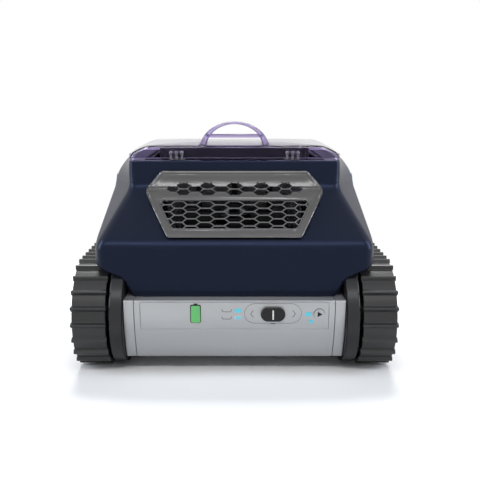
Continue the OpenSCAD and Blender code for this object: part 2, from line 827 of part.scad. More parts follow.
module motor_mount() {
    half = 16;
    color([0.3, 0.32, 0.35]) difference() {
        block(-half, half, motor_y0 + 6, motor_y0 + pump_l - 8, chassis_top - 8, pump_z - 8);
        along_y(motor_y0, motor_y0 + pump_l + 1) translate([0, pump_z]) circle(pump_r);
        block(-half + 5, half - 5, motor_y0 + 12, motor_y0 + pump_l - 14,
            chassis_top - 4, pump_z - pump_r - 5);
    }
}

// ---- filter ----
module windows(x0, x1, n) {
    w = (x1 - x0 - (n + 1) * 8) / n;
    for (i = [0:n - 1])
        translate([x0 + 8 + i * (w + 8), basket_z + 16]) square([w, basket_top - basket_z - 32]);
}
module filter_basket() {
    ear = 4;
    color([0.35, 0.36, 0.38]) difference() {
        union() {
            difference() {
                block(-basket_x, basket_x, basket_y0, basket_y1, basket_z, basket_top);
                block(-basket_x + wall, basket_x - wall, basket_y0 + wall, basket_y1 - wall,
                    basket_z + wall, basket_top + 1);
                along_y(basket_y0 - 1, basket_y1 + 1) windows(-basket_x, basket_x, 4);
                along_x(-basket_x - 1, basket_x + 1) windows(basket_y0, basket_y1, 3);
                block(-throat_x, throat_x, throat_y0, throat_y0 + throat_l, 0, basket_z + wall + 1);
            }
            for (s = [-1, 1]) on_side(s)
                block(throat_x + 3, throat_x + 3 + ear, flap_y - 4, flap_y + 4,
                    basket_z + wall, flap_z + 4);
        }
        rod_x(pin_r, -throat_x - 20, throat_x + 20, flap_y, flap_z);
    }
}
module filter_mesh() {
    mesh_t = 0.8;
    gap = wall + 0.3;
    z0 = basket_z + 12;
    z1 = basket_top - 12;
    color([0.85, 0.86, 0.86]) difference() {
        block(-basket_x + gap, basket_x - gap, basket_y0 + gap, basket_y1 - gap, z0, z1);
        block(-basket_x + gap + mesh_t, basket_x - gap - mesh_t, basket_y0 + gap + mesh_t,
            basket_y1 - gap - mesh_t, z0 - 1, z1 + 1);
    }
}
module intake_flap() {
    flap_t = 2;
    color([0.15, 0.15, 0.16]) difference() {
        union() {
            block(-throat_x - 1, throat_x + 1, flap_y, throat_y0 + throat_l + 1.5,
                basket_z + wall + 0.3, basket_z + wall + 0.3 + flap_t);
            rod_x(knuckle_r, -throat_x - 1, throat_x + 1, flap_y, flap_z);
        }
        rod_x(pin_r + 0.1, -throat_x - 2, throat_x + 2, flap_y, flap_z);
    }
}
module flap_pin() {
    color("silver") rod_x(pin_r, -throat_x - 8, throat_x + 8, flap_y, flap_z);
}
function crown_ring(w, z, k, r) =
    let (a = plan(rim_x - 25 - w, rim_y + 5.5 + w, rim_x - 23 - w, side_y0, side_y1,
        rim_x - 25 - w, rim_back - 4 - w))
    let (f = rim_y + 5.5, b = rim_back - 4, mid = (f + b) / 2)
    [for (q = rounded(a, r, 4))
        let (x = q.x * k, y = mid + (q.y - mid) * k) [x, y, z - lid_drop * (y - f) / (b - f)]];
module filter_top() {
    inset = 15;
    under = lid_wall + 1.6;
    top = lid_top - under;
    slots = 9;
    color([0.3, 0.3, 0.32]) difference() {
        loft([crown_ring(inset, basket_top + lid_drop, 1, 8), crown_ring(inset, lid_brow - under, 1, 8),
            crown_ring(inset, top - 0.9, 0.62, 6), crown_ring(inset, top, 0.15, 1)]);
        loft([crown_ring(inset + wall, basket_top - 6, 1, 8),
            crown_ring(inset + wall, lid_brow - under - wall, 1, 8),
            crown_ring(inset + wall, top - 0.9 - wall, 0.62, 6),
            crown_ring(inset + wall, top - wall, 0.15, 1)]);
        for (i = [0:slots - 1], s = [-1, 1])
            translate([0, deck_y0 + 26 + i * 15, 0])
                block(s * 66 - 32, s * 66 + 32, 0, 4, basket_top + 10, lid_top);
    }
}

// ---- lid ----
function lid_rings(w, z0) =
    let (foot = plan(rim_x - w, rim_y + w, shoulder_x - w, side_y0, side_y1,
        rim_x - w, rim_back - w))
    let (mid = plan(rim_x - 4 - w, rim_y + 0.8 + w, shoulder_x - 9 - w, side_y0, side_y1,
        rim_x - 4 - w, rim_back - 2 - w))
    let (bend = plan(rim_x - 14 - w, rim_y + 1.8 + w, shoulder_x - 19 - w, side_y0, side_y1,
        rim_x - 14 - w, rim_back - 3 - w))
    [ring(foot, z0, corner_r), ring(mid, lid_z + 8 - w * 0.3, corner_r),
        ring(bend, lid_z + 13 - w * 0.6, corner_r), crown_ring(w, lid_brow - w, 1, 8),
        crown_ring(w, lid_top - 0.9 - w, 0.62, 6), crown_ring(w, lid_top - w, 0.15, 1)];
module ellipse_half(a, b, n) {
    polygon([for (i = [0:n]) [a * cos(180 * i / n), b * sin(180 * i / n)]]);
}
module handle_arch() {
    foot = lid_top - 6;
    rise = arch_top - foot;
    side_t = 8.5;
    bar_z = lid_top + 5;
    along_y(arch_y0, arch_y1) translate([0, foot]) difference() {
        ellipse_half(arch_x, rise, 32);
        ellipse_half(arch_x - side_t, rise - arch_t, 32);
    }
    block(-arch_x + 8, arch_x - 8, arch_y1 - 12, arch_y1 - 6, bar_z, bar_z + 5);
}
module lid() {
    color([0.45, 0.4, 0.6, 0.45]) difference() {
        union() {
            loft(lid_rings(0, lid_z));
            handle_arch();
        }
        difference() {
            loft(lid_rings(lid_wall, lid_z - 1));
            for (s = [-1, 1], k = [-1, 1])
                block(s * hinge_x + k * 3.75 - 1.7, s * hinge_x + k * 3.75 + 1.7,
                    hinge_y - 6, hinge_y + 4, hinge_z + knuckle_r + 0.3, lid_top);
        }
        for (s = [-1, 1], k = [-1:1])
            block(s * hinge_x + k * bar_pitch - bar_w / 2 - 0.5,
                s * hinge_x + k * bar_pitch + bar_w / 2 + 0.5,
                rim_y - 2, hinge_y, lid_z - 2, hinge_z + 4.6);
        block(-latch_x - seam, latch_x + seam, rim_back - 5, rim_back + 5,
            latch_z - seam, latch_z + latch_h + seam);
    }
}
module lid_hinge_leaves() {
    tube_w = bar_pitch - bar_w - 0.6;
    color([0.5, 0.5, 0.52]) for (s = [-1, 1], k = [-0.5, 0.5])
        let (x = s * hinge_x + k * bar_pitch) difference() {
            union() {
                rod_x(knuckle_r, x - tube_w / 2, x + tube_w / 2, hinge_y, hinge_z);
                block(x - tube_w / 2, x + tube_w / 2, hinge_y - 1.5, hinge_y + 1.5,
                    hinge_z, hinge_z + knuckle_r + 0.2);
            }
            rod_x(pin_r, x - tube_w, x + tube_w, hinge_y, hinge_z);
        }
}
module lid_hinge_brackets() {
    foot_t = 1.2;
    color([0.55, 0.55, 0.57]) for (s = [-1, 1]) difference() {
        union() {
            for (k = [-1:1]) let (x = s * hinge_x + k * bar_pitch) {
                rod_x(knuckle_r, x - bar_w / 2, x + bar_w / 2, hinge_y, hinge_z);
                block(x - bar_w / 2, x + bar_w / 2, hinge_y - 1.5, hinge_y + 2.8,
                    rim_z + 0.1, hinge_z);
            }
            block(s * hinge_x - 11, s * hinge_x + 11, hinge_y + 5, hinge_y + 9.5,
                rim_z, rim_z + foot_t);
            for (k = [-1:1]) let (x = s * hinge_x + k * bar_pitch)
                block(x - bar_w / 2, x + bar_w / 2, hinge_y, hinge_y + 8, rim_z, rim_z + foot_t + 1);
        }
        rod_x(pin_r + run_fit, s * hinge_x - 15, s * hinge_x + 15, hinge_y, hinge_z);
    }
}
module lid_hinge_pins() {
    half = bar_pitch + bar_w / 2 + 1;
    color("silver") for (s = [-1, 1])
        rod_x(pin_r, s * hinge_x - half, s * hinge_x + half, hinge_y, hinge_z);
}
module lid_gasket() {
    width = 3;
    off = 2;
    color([0.1, 0.1, 0.1]) difference() {
        block(-deck_x - off - width, deck_x + off + width, deck_y0 - off / 4 - width,
            deck_y1 + off / 2 + width, rim_z, rim_z + 2);
        block(-deck_x - off, deck_x + off, deck_y0 - off / 4, deck_y1 + off / 2, rim_z - 1, rim_z + 3);
    }
}
module lid_latch() {
    color([0.5, 0.5, 0.52]) {
        block(-latch_x, latch_x, rim_back - 6, rim_back + 3.5, latch_z, latch_z + latch_h);
        block(-latch_x - 3, latch_x + 3, rim_back - 8, rim_back - 6, latch_z, latch_z + latch_h + 2);
    }
}

lower_chassis();
upper_shell();
side_panel(-1);  // side_panel_left
side_panel(1);  // side_panel_right
outlet_bezel();
outlet_grille();
battery_housing();
end_cap(-1);  // end_cap_left
end_cap(1);  // end_cap_right
battery_cells();
control_board();
control_panel();
battery_indicator();
status_lights();
mode_slider();
start_button();
electronics_case();
motor_mount();
pump_motor();
impeller();
outlet_duct();
drive_motor(-1);  // drive_motor_left
drive_motor(1);  // drive_motor_right
motor_pinion(-1);  // motor_pinion_left
motor_pinion(1);  // motor_pinion_right
side_frame(-1);  // side_frame_left
side_frame(1);  // side_frame_right
gear_cover(-1);  // gear_cover_left
gear_cover(1);  // gear_cover_right
wheel(-1, rear_axle, axle_r);  // drive_wheel_left
wheel(1, rear_axle, axle_r);  // drive_wheel_right
wheel_gear(-1);  // wheel_gear_left
wheel_gear(1);  // wheel_gear_right
drive_axle(-1);  // drive_axle_left
drive_axle(1);  // drive_axle_right
wheel(-1, front_axle, axle_r + run_fit);  // idler_wheel_left
wheel(1, front_axle, axle_r + run_fit);  // idler_wheel_right
idler_axle(-1);  // idler_axle_left
idler_axle(1);  // idler_axle_right
hub_cap(-1, rear_axle);  // hub_cap_rear_left
hub_cap(1, rear_axle);  // hub_cap_rear_right
hub_cap(-1, front_axle);  // hub_cap_front_left
hub_cap(1, front_axle);  // hub_cap_front_right
track(-1);  // track_left
track(1);  // track_right
axle_bushes();
filter_basket();
filter_mesh();
filter_top();
intake_flap();
flap_pin();
lid();
lid_hinge_leaves();
lid_hinge_brackets();
lid_hinge_pins();
lid_gasket();
lid_latch();
brush_roller();
brush_gear();
chassis_screws();
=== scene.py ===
from math import cos, exp, pi, radians, sin, sqrt, tan

import bmesh
import bpy
from mathutils import Matrix, Vector


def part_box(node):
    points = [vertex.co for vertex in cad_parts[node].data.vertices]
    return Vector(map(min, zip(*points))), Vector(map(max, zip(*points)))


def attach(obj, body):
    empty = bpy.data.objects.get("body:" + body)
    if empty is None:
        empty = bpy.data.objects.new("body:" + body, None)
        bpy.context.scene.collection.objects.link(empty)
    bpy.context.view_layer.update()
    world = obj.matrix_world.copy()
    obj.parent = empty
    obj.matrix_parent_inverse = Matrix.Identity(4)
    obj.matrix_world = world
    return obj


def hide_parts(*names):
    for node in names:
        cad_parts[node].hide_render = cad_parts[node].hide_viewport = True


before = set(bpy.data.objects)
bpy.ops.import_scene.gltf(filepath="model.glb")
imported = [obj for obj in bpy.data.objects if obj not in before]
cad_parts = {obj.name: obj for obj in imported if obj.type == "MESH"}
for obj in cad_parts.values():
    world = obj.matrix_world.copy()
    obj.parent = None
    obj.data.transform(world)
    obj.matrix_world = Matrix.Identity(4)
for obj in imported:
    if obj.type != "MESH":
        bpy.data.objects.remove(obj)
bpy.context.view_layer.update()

# Studio: a wide white floor that keeps the soft shadow under the cleaner, and a
# white sky. Reflections and clear parts see that same white.
scene = bpy.context.scene
scene.view_settings.view_transform = "Standard"


def shader_node(tree, kind, **settings):
    made = tree.nodes.new(kind)
    for key, value in settings.items():
        setattr(made, key, value)
    return made


def seen_directly(tree):
    """Socket that is 1 for camera, glossy and transmission rays."""
    path = shader_node(tree, "ShaderNodeLightPath")
    last = path.outputs["Is Camera Ray"]
    for name in ("Is Glossy Ray", "Is Transmission Ray"):
        either = shader_node(tree, "ShaderNodeMath", operation="MAXIMUM")
        tree.links.new(last, either.inputs[0])
        tree.links.new(path.outputs[name], either.inputs[1])
        last = either.outputs[0]
    return last


world = bpy.data.worlds.new("studio")
world.use_nodes = True
scene.world = world
sky = world.node_tree.nodes["Background"]
sky.inputs["Color"].default_value = (1, 1, 1, 1)
sky_level = shader_node(world.node_tree, "ShaderNodeMapRange")
sky_level.inputs["To Min"].default_value = 0.24
sky_level.inputs["To Max"].default_value = 1.0
world.node_tree.links.new(seen_directly(world.node_tree), sky_level.inputs["Value"])
world.node_tree.links.new(sky_level.outputs[0], sky.inputs["Strength"])

bm = bmesh.new()
bmesh.ops.create_grid(bm, x_segments=1, y_segments=1, size=20.0)
floor_mesh = bpy.data.meshes.new("floor")
bm.to_mesh(floor_mesh)
bm.free()
floor = bpy.data.objects.new("floor", floor_mesh)
scene.collection.objects.link(floor)
floor_paint = bpy.data.materials.new("floor_paint")
floor_paint.use_nodes = True
tree = floor_paint.node_tree
floor_shader = tree.nodes["Principled BSDF"]
floor_shader.inputs["Base Color"].default_value = (0.95, 0.95, 0.95, 1)
floor_shader.inputs["Roughness"].default_value = 0.9
floor_shader.inputs["Specular IOR Level"].default_value = 0.05
floor_place = shader_node(tree, "ShaderNodeTexCoord")
reach = shader_node(tree, "ShaderNodeVectorMath", operation="LENGTH")
tree.links.new(floor_place.outputs["Object"], reach.inputs[0])
far = shader_node(tree, "ShaderNodeMapRange", interpolation_type="SMOOTHSTEP")
far.inputs["From Min"].default_value = 0.34
far.inputs["From Max"].default_value = 0.6
tree.links.new(reach.outputs["Value"], far.inputs["Value"])
white_here = shader_node(tree, "ShaderNodeMath", operation="MULTIPLY")
tree.links.new(far.outputs[0], white_here.inputs[0])
tree.links.new(seen_directly(tree), white_here.inputs[1])
plain_white = shader_node(tree, "ShaderNodeEmission")
plain_white.inputs["Strength"].default_value = 1.0
floor_mix = shader_node(tree, "ShaderNodeMixShader")
tree.links.new(white_here.outputs[0], floor_mix.inputs[0])
tree.links.new(floor_shader.outputs[0], floor_mix.inputs[1])
tree.links.new(plain_white.outputs[0], floor_mix.inputs[2])
tree.links.new(floor_mix.outputs[0], tree.nodes["Material Output"].inputs["Surface"])
floor.data.materials.append(floor_paint)


def lamp(name, place, target, size, watts, colour=(1, 1, 1)):
    data = bpy.data.lights.new(name, "AREA")
    data.shape = "RECTANGLE"
    data.size, data.size_y = size
    data.energy = watts
    data.color = colour
    thing = bpy.data.objects.new(name, data)
    thing.location = place
    thing.rotation_euler = (Vector(target) - Vector(place)).to_track_quat("-Z", "Y").to_euler()
    scene.collection.objects.link(thing)


lamp("overhead", (0, 0.85, 1.5), (0, 0.0, 0.1), (1.3, 0.6), 36)
lamp("front_strip", (0, -1.15, 1.35), (0, 0, 0.2), (1.7, 0.22), 9)
lamp("left_wall", (-1.5, -0.35, 0.75), (0, 0, 0.16), (0.4, 1.2), 14, (0.86, 0.92, 1))
lamp("right_wall", (1.5, -0.35, 0.75), (0, 0, 0.16), (0.4, 1.2), 14, (0.86, 0.92, 1))

camera_data = bpy.data.cameras.new("camera")
camera_data.sensor_width = 36
camera_data.lens = 53.3
camera_data.shift_x = 0.0115
camera = bpy.data.objects.new("camera", camera_data)
camera.location = (0, -1.0645, 0.3615)
camera.rotation_euler = (radians(90 - 11.6), 0, 0)
scene.collection.objects.link(camera)
scene.camera = camera


# Hidden works: the motors, gears, axles, cells, filter basket and seals keep their
# turned and moulded shapes, each with a finish that shows its material.
def finish(name, colour, rough, metal=0.0, vary=0.08, patch=14.0, grain=700.0, depth=0.00003,
           coat=0.0, stretch=(1, 1, 1), spread=0.05, gloss=0.5, tint=(1, 1, 1)):
    """Moulded, painted or drawn surface: cloudy colour and gloss, and a fine grain in relief."""
    made = bpy.data.materials.new(name)
    made.use_nodes = True
    tree = made.node_tree
    shader = tree.nodes["Principled BSDF"]
    shader.inputs["Metallic"].default_value = metal
    shader.inputs["Coat Weight"].default_value = coat
    shader.inputs["Coat Roughness"].default_value = 0.12
    shader.inputs["Specular IOR Level"].default_value = gloss
    shader.inputs["Specular Tint"].default_value = (*tint, 1)
    place = shader_node(tree, "ShaderNodeTexCoord")
    turn = shader_node(tree, "ShaderNodeMapping")
    turn.inputs["Scale"].default_value = stretch
    tree.links.new(place.outputs["Object"], turn.inputs["Vector"])
    clouds = shader_node(tree, "ShaderNodeTexNoise")
    clouds.inputs["Scale"].default_value = patch
    clouds.inputs["Detail"].default_value = 4
    tree.links.new(turn.outputs["Vector"], clouds.inputs["Vector"])
    tone = shader_node(tree, "ShaderNodeMix", data_type="RGBA")
    tone.inputs[6].default_value = (*[c * (1 - vary) for c in colour], 1)
    tone.inputs[7].default_value = (*[min(1, c * (1 + vary)) for c in colour], 1)
    tree.links.new(clouds.outputs["Fac"], tone.inputs["Factor"])
    tree.links.new(tone.outputs[2], shader.inputs["Base Color"])
    level = shader_node(tree, "ShaderNodeMapRange")
    level.inputs["To Min"].default_value = max(0.02, rough - spread)
    level.inputs["To Max"].default_value = rough + spread
    tree.links.new(clouds.outputs["Fac"], level.inputs["Value"])
    tree.links.new(level.outputs[0], shader.inputs["Roughness"])
    fine = shader_node(tree, "ShaderNodeTexNoise")
    fine.inputs["Scale"].default_value = grain
    fine.inputs["Detail"].default_value = 2
    tree.links.new(turn.outputs["Vector"], fine.inputs["Vector"])
    relief = shader_node(tree, "ShaderNodeBump")
    relief.inputs["Strength"].default_value = 0.35
    relief.inputs["Distance"].default_value = depth
    tree.links.new(fine.outputs["Fac"], relief.inputs["Height"])
    tree.links.new(relief.outputs["Normal"], shader.inputs["Normal"])
    return made


def paint(nodes, material):
    for name in nodes:
        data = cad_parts[name].data
        data.materials.clear()
        data.materials.append(material)


SIDES = ("left", "right")
black_works = finish("black_works", (0.012, 0.012, 0.014), 0.5, gloss=0.2)
steel = finish("steel", (0.5, 0.5, 0.51), 0.28, metal=1.0, stretch=(1, 9, 9), depth=0.00001)
motor_zinc = finish("motor_zinc", (0.3, 0.31, 0.33), 0.35, metal=1.0)
acetal = finish("acetal", (0.72, 0.71, 0.66), 0.4)
cell_wrap = finish("cell_wrap", (0.05, 0.16, 0.38), 0.25)
board_green = finish("board_green", (0.02, 0.13, 0.06), 0.35)
filter_grey = finish("filter_grey", (0.05, 0.05, 0.053), 0.5, gloss=0.15)
screen = finish("screen", (0.6, 0.61, 0.6), 0.7, grain=1500.0, depth=0.0002)
seal_rubber = finish("seal_rubber", (0.012, 0.012, 0.013), 0.6, gloss=0.2)
hinge_grey = finish("hinge_grey", (0.16, 0.16, 0.17), 0.35)
paint(["electronics_case", "motor_mount", "outlet_duct", "impeller"], black_works)
paint(["gear_cover_" + side for side in SIDES], black_works)
paint([n + side for n in ("drive_axle_", "idler_axle_", "motor_pinion_") for side in SIDES], steel)
paint(["flap_pin", "lid_hinge_pins", "chassis_screws"], steel)
paint(["drive_motor_left", "drive_motor_right", "pump_motor"], motor_zinc)
paint(["wheel_gear_left", "wheel_gear_right", "brush_gear", "axle_bushes"], acetal)
paint(["battery_cells"], cell_wrap)
paint(["control_board"], board_green)
paint(["filter_basket"], filter_grey)
paint(["lid_hinge_leaves", "lid_hinge_brackets"], hinge_grey)
paint(["filter_mesh"], screen)
paint(["lid_gasket", "intake_flap"], seal_rubber)


# Upper shell: one navy moulding, 3.5 mm thick, in satin paint that turns blue along
# its corners. It is drawn up from ring to ring and clipped over the chassis.
def shade(piece, angle=32):
    mesh = piece.data
    mesh.polygons.foreach_set("use_smooth", [True] * len(mesh.polygons))
    mesh.set_sharp_from_angle(angle=radians(angle))
    even = piece.modifiers.new("even_normals", "WEIGHTED_NORMAL")
    even.keep_sharp = True


def piece_from(bm, name, material, body="root", node=None, wall=0.0, angle=32):
    """Puts a finished bmesh in the scene, on its body and in place of its CAD node."""
    mesh = bpy.data.meshes.new(name)
    bm.to_mesh(mesh)
    bm.free()
    piece = bpy.data.objects.new(name, mesh)
    scene.collection.objects.link(piece)
    mesh.materials.append(material)
    if wall:
        skin = piece.modifiers.new("wall", "SOLIDIFY")
        skin.thickness = wall
        skin.offset = -1
        skin.use_even_offset = True
    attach(piece, body)
    if node:
        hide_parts(node)
    shade(piece, angle)
    return piece


def outward(bm, centre):
    """Turns the faces of an open skin away from the point it wraps."""
    bmesh.ops.recalc_face_normals(bm, faces=bm.faces)
    lean = sum(f.normal.dot(f.calc_center_median() - Vector(centre)) * f.calc_area() for f in bm.faces)
    if lean < 0:
        bmesh.ops.reverse_faces(bm, faces=bm.faces)


def plan(a, front, s, y0, y1, b, rear):
    """Eight plan corners, from the right front round the rear to the left front."""
    half = [(a, front), (s, y0), (s, y1), (b, rear)]
    return half + [(-x, y) for x, y in reversed(half)]


def rounded(corners, radius, steps, fills, stops=None):
    """Outline with rounded corners; fills gives points per straight, stops gives them by x."""
    arcs = []
    for i, at in enumerate(corners):
        here = Vector(at)
        u = (Vector(corners[i - 1]) - here).normalized()
        v = (Vector(corners[(i + 1) % len(corners)]) - here).normalized()
        half = u.angle(v) / 2
        centre = here + (u + v).normalized() * radius / sin(half)
        first = here + u * radius / tan(half) - centre
        arcs.append([centre + Matrix.Rotation((pi - 2 * half) * k / steps, 2) @ first
                     for k in range(steps + 1)])
    points = []
    for i, arc in enumerate(arcs):
        points += arc
        a, b = arc[-1], arcs[(i + 1) % len(arcs)][0]
        if stops and i in stops:
            points += [Vector((x, a.y)) for x in stops[i]]
        else:
            points += [a.lerp(b, (k + 1) / (fills[i] + 1)) for k in range(fills[i])]
    return points


def blended(knots, at, blur):
    """Ring at one place between key rings, with the bends at the keys rounded off."""
    places = [k[0] for k in knots]
    total = None
    for step in range(-4, 5):
        t = at + blur * step / 4
        i = max(0, min(len(knots) - 2, sum(p <= t for p in places) - 1))
        f = (t - places[i]) / (places[i + 1] - places[i])
        ring = [p + (q - p) * f for p, q in zip(knots[i][1], knots[i + 1][1])]
        total = ring if total is None else [p + q for p, q in zip(total, ring)]
    return [p / 9 for p in total]


def drawn(rings, closed=True):
    """Skin made by extruding a loop of vertices from ring to ring."""
    bm = bmesh.new()
    verts = [bm.verts.new(p) for p in rings[0]]
    last = len(verts) if closed else len(verts) - 1
    edges = [bm.edges.new((verts[i], verts[(i + 1) % len(verts)])) for i in range(last)]
    for ring in rings[1:]:
        order = {tuple(v.co): i for i, v in enumerate(verts)}
        made = bmesh.ops.extrude_edge_only(bm, edges=edges)["geom"]
        new = {g for g in made if isinstance(g, bmesh.types.BMVert)}
        edges = [g for g in made if isinstance(g, bmesh.types.BMEdge) and set(g.verts) <= new]
        verts = sorted(new, key=lambda v: order[tuple(v.co)])
        for v, p in zip(verts, ring):
            v.co = p
    return bm, edges


def raised(points, z, drop=None):
    return [Vector((p.x, p.y, z - (drop(p.y) if drop else 0))) for p in points]


shell_low, shell_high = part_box("upper_shell")
wheel_low, wheel_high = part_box("drive_wheel_right")
track_low, track_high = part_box("track_right")
axle_y = (wheel_low.y + wheel_high.y) / 2
axle_z = (wheel_low.z + wheel_high.z) / 2
wide, front, rim_z = shell_high.x, shell_low.y, shell_high.z
crease_z = shell_low.z + 0.0675
brow_z = crease_z + 0.067
box_y = front + 0.067
SHELL_FILLS = (3, 12, 3, 24, 3, 12, 3, 60)
skirt_plan = plan(wide - 0.006, front, wide, front + 0.0115, -front - 0.0115, wide - 0.006, -front)
upper_plans = [
    (0.0, 0.140, box_y, 0.171, 0.128, 0.012), (0.010, 0.141, box_y + 0.002, 0.170, 0.127, 0.012),
    (0.024, 0.1425, box_y + 0.004, 0.162, 0.125, 0.010),
    (0.0355, 0.143, box_y + 0.005, 0.152, 0.123, 0.009)]
keys = [(z, raised(rounded(skirt_plan, 0.013, 6, SHELL_FILLS), z)) for z in (shell_low.z, crease_z)]
for rise, a, y, s, rear, radius in upper_plans:
    corners = plan(a, y, s, -0.035, 0.070, a, rear)
    keys.append((brow_z + rise, raised(rounded(corners, radius, 6, SHELL_FILLS), brow_z + rise)))
heights = [shell_low.z + k * 0.0085 for k in range(7)]
heights += [crease_z + k * 0.0018 for k in range(-4, 5)]
heights += [crease_z + 0.014 + k * 0.0054 for k in range(8)]
heights += [brow_z + k * 0.002 for k in range(-4, 15)] + [rim_z - 0.004, rim_z - 0.0025]
rings = [blended(keys, z, 0.008) for z in heights]
rim_plan = [p.copy() for p in keys[-1][1]]
for inset, z in ((0.0002, 0.0013), (0.0008, 0.0005), (0.002, 0.0001), (0.0035, 0.0)):
    rings.append([Vector((p.x * (1 - inset / 0.143), p.y * (1 - inset / 0.11), rim_z - z)) for p in rim_plan])
deck_plan = plan(0.117, box_y + 0.0245, 0.118, -0.035, 0.070, 0.117, 0.115)
rings.append(raised(rounded(deck_plan, 0.0004, 6, SHELL_FILLS), rim_z))
bm, _ = drawn(rings)

# the wheel arches and the slanted ends of the skirt lift its lower edge
SKIRT_EDGE = ((0.1337, 0.0), (0.1395, 0.0105), (0.143, 0.0217), (0.1635, 0.0305), (0.176, 0.0365),
              (0.1815, 0.042), (0.2, 0.042))
for v in bm.verts:
    x, y = abs(v.co.x), abs(v.co.y)
    edge = 0.0
    for (x0, z0), (x1, z1) in zip(SKIRT_EDGE, SKIRT_EDGE[1:]):
        if x0 < x <= x1:
            edge = z0 + (z1 - z0) * (x - x0) / (x1 - x0)
    low = shell_low.z + edge
    if x > track_low.x:
        over = max(0.0, y - axle_y)
        low = max(low, axle_z + sqrt(max(0.0, 0.0755 ** 2 - over ** 2)))
    if v.co.z < crease_z - 0.008:
        part = (v.co.z - shell_low.z) / (crease_z - 0.008 - shell_low.z)
        v.co.z = low + part * (crease_z - 0.008 - low)
    v.co.y += max(0.0, x - 0.113) * 0.05 * (1 if v.co.y < 0 else -1) * (v.co.z < rim_z - 0.03)


def inside(p, outline):
    """True where a point (x, z) lies in a polygon."""
    hit = False
    for (x0, z0), (x1, z1) in zip(outline, outline[1:] + outline[:1]):
        if (z0 > p[1]) != (z1 > p[1]) and p[0] < x0 + (x1 - x0) * (p[1] - z0) / (z1 - z0):
            hit = not hit
    return hit


duct_window = [(-0.084, crease_z + 0.0152), (0.084, crease_z + 0.0152), (0.104, brow_z - 0.015),
               (0.1, brow_z + 0.006), (-0.1, brow_z + 0.006), (-0.104, brow_z - 0.015)]
cut = [f for f in bm.faces if f.calc_center_median().y < -0.09
       and any(inside((v.co.x, v.co.z), duct_window) for v in f.verts)]
bmesh.ops.delete(bm, geom=cut, context="FACES")
outward(bm, (0, 0, 0.15))
shell_navy = finish("shell_navy", (0.0075, 0.0085, 0.015), 0.3, vary=0.05, depth=0.00001,
                    gloss=0.26, tint=(0.35, 0.5, 1.0))
piece_from(bm, "shell", shell_navy, node="upper_shell", wall=0.0035, angle=50)


# Side inserts: a pale blue moulding let into each flank of the shell, snapped in
# from outside.
def broken_edges(node, name, material, body="root", offset=0.0006, angle=28, segments=2, flat=0.6):
    """Copy of a node with its seams closed, its flat faces joined and its edges rounded."""
    bm = bmesh.new()
    bm.from_mesh(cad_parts[node].data)
    bmesh.ops.remove_doubles(bm, verts=bm.verts, dist=2e-6)
    bmesh.ops.dissolve_limit(bm, angle_limit=radians(flat), verts=bm.verts, edges=bm.edges)
    sharp = [e for e in bm.edges if e.is_manifold and e.calc_face_angle(0) > radians(angle)]
    bmesh.ops.bevel(bm, geom=sharp, offset=offset, offset_type="OFFSET", segments=segments,
                    profile=0.5, affect="EDGES", material=-1, clamp_overlap=False)
    return piece_from(bm, name, material, body, node)


insert_blue = finish("insert_blue", (0.10, 0.22, 0.35), 0.3, gloss=0.4)
for side in SIDES:
    broken_edges("side_panel_" + side, "side_insert_" + side, insert_blue, offset=0.0005)


# Outlet bezel: a dished plate of dark satin metal over the slope and the brow. Its rim
# is a thin raised line, its flanks roll in to the grille, and a round bar parts the
# grille from the vents. It is pressed, and snapped over the shell's window.
bezel_low, bezel_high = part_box("outlet_bezel")
grille_low, grille_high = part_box("outlet_grille")
bezel_edge = [(-0.087, bezel_low.z), (0.087, bezel_low.z), (bezel_high.x, brow_z - 0.003),
              (0.098, bezel_high.z), (-0.098, bezel_high.z), (-bezel_high.x, brow_z - 0.003)]
grille_edge = [(-0.082, grille_low.z), (0.082, grille_low.z), (grille_high.x, grille_high.z),
               (-grille_high.x, grille_high.z)]


def distance(p, outline):
    best = 1.0
    for a, b in zip(outline, outline[1:] + outline[:1]):
        a, b, at = Vector(a), Vector(b), Vector(p)
        f = max(0.0, min(1.0, (at - a).dot(b - a) / (b - a).length_squared))
        best = min(best, (at - a.lerp(b, f)).length)
    return best


def sliced(bm, point, normal):
    bmesh.ops.bisect_plane(bm, geom=bm.verts[:] + bm.edges[:] + bm.faces[:], dist=1e-7,
                           plane_co=point, plane_no=normal)


def rolled_y(z, lift):
    return sum(min(box_y - 1.4142 * lift - (brow_z - q), box_y - lift + 0.0002 + (q - brow_z) * 0.13)
               for q in [z + 0.009 * k / 6 for k in range(-6, 7)]) / 13


